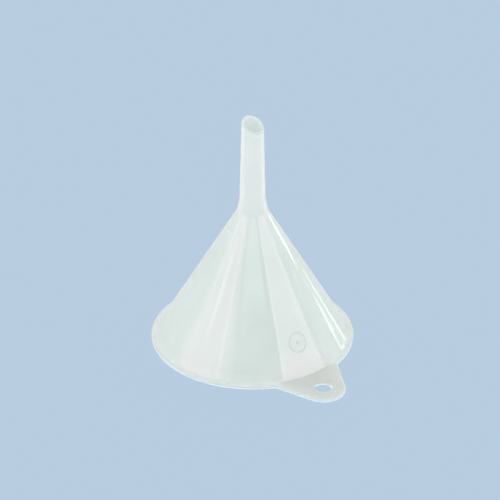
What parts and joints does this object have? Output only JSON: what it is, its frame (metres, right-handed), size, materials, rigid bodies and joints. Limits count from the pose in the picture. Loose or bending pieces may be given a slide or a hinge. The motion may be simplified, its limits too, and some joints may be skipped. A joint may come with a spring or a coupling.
{
  "type": "conical filling funnel",
  "caption": "Conical filling funnel in translucent plastic, with a tapered stem cut on a slant, a flat rim flange and a hanging tab with a round hole.",
  "frame": {"origin": "centre of the mouth's circle, on the plane of the rim's bearing face, which the funnel stands on upside down", "axes": "+Z along the funnel's axis, from the mouth to the stem's tip; -Y towards the hanging tab; +X completes the right-handed frame"},
  "size_m": [0.1, 0.1208, 0.1169],
  "materials": {
    "cone_wall": "semi-gloss natural polypropylene, milky and translucent",
    "hanging_tab": "semi-gloss natural polypropylene, milky and translucent",
    "rim_flange": "semi-gloss natural polypropylene, milky and translucent",
    "stem_shoulder": "semi-gloss natural polypropylene, milky and translucent",
    "stem_tube": "semi-gloss natural polypropylene, milky and translucent"
  },
  "bodies": {
    "root": {"cone_wall": "cone_wall", "hanging_tab": "hanging_tab", "rim_flange": "rim_flange", "stem_shoulder": "stem_shoulder", "stem_tube": "stem_tube"}
  },
  "joints": []
}
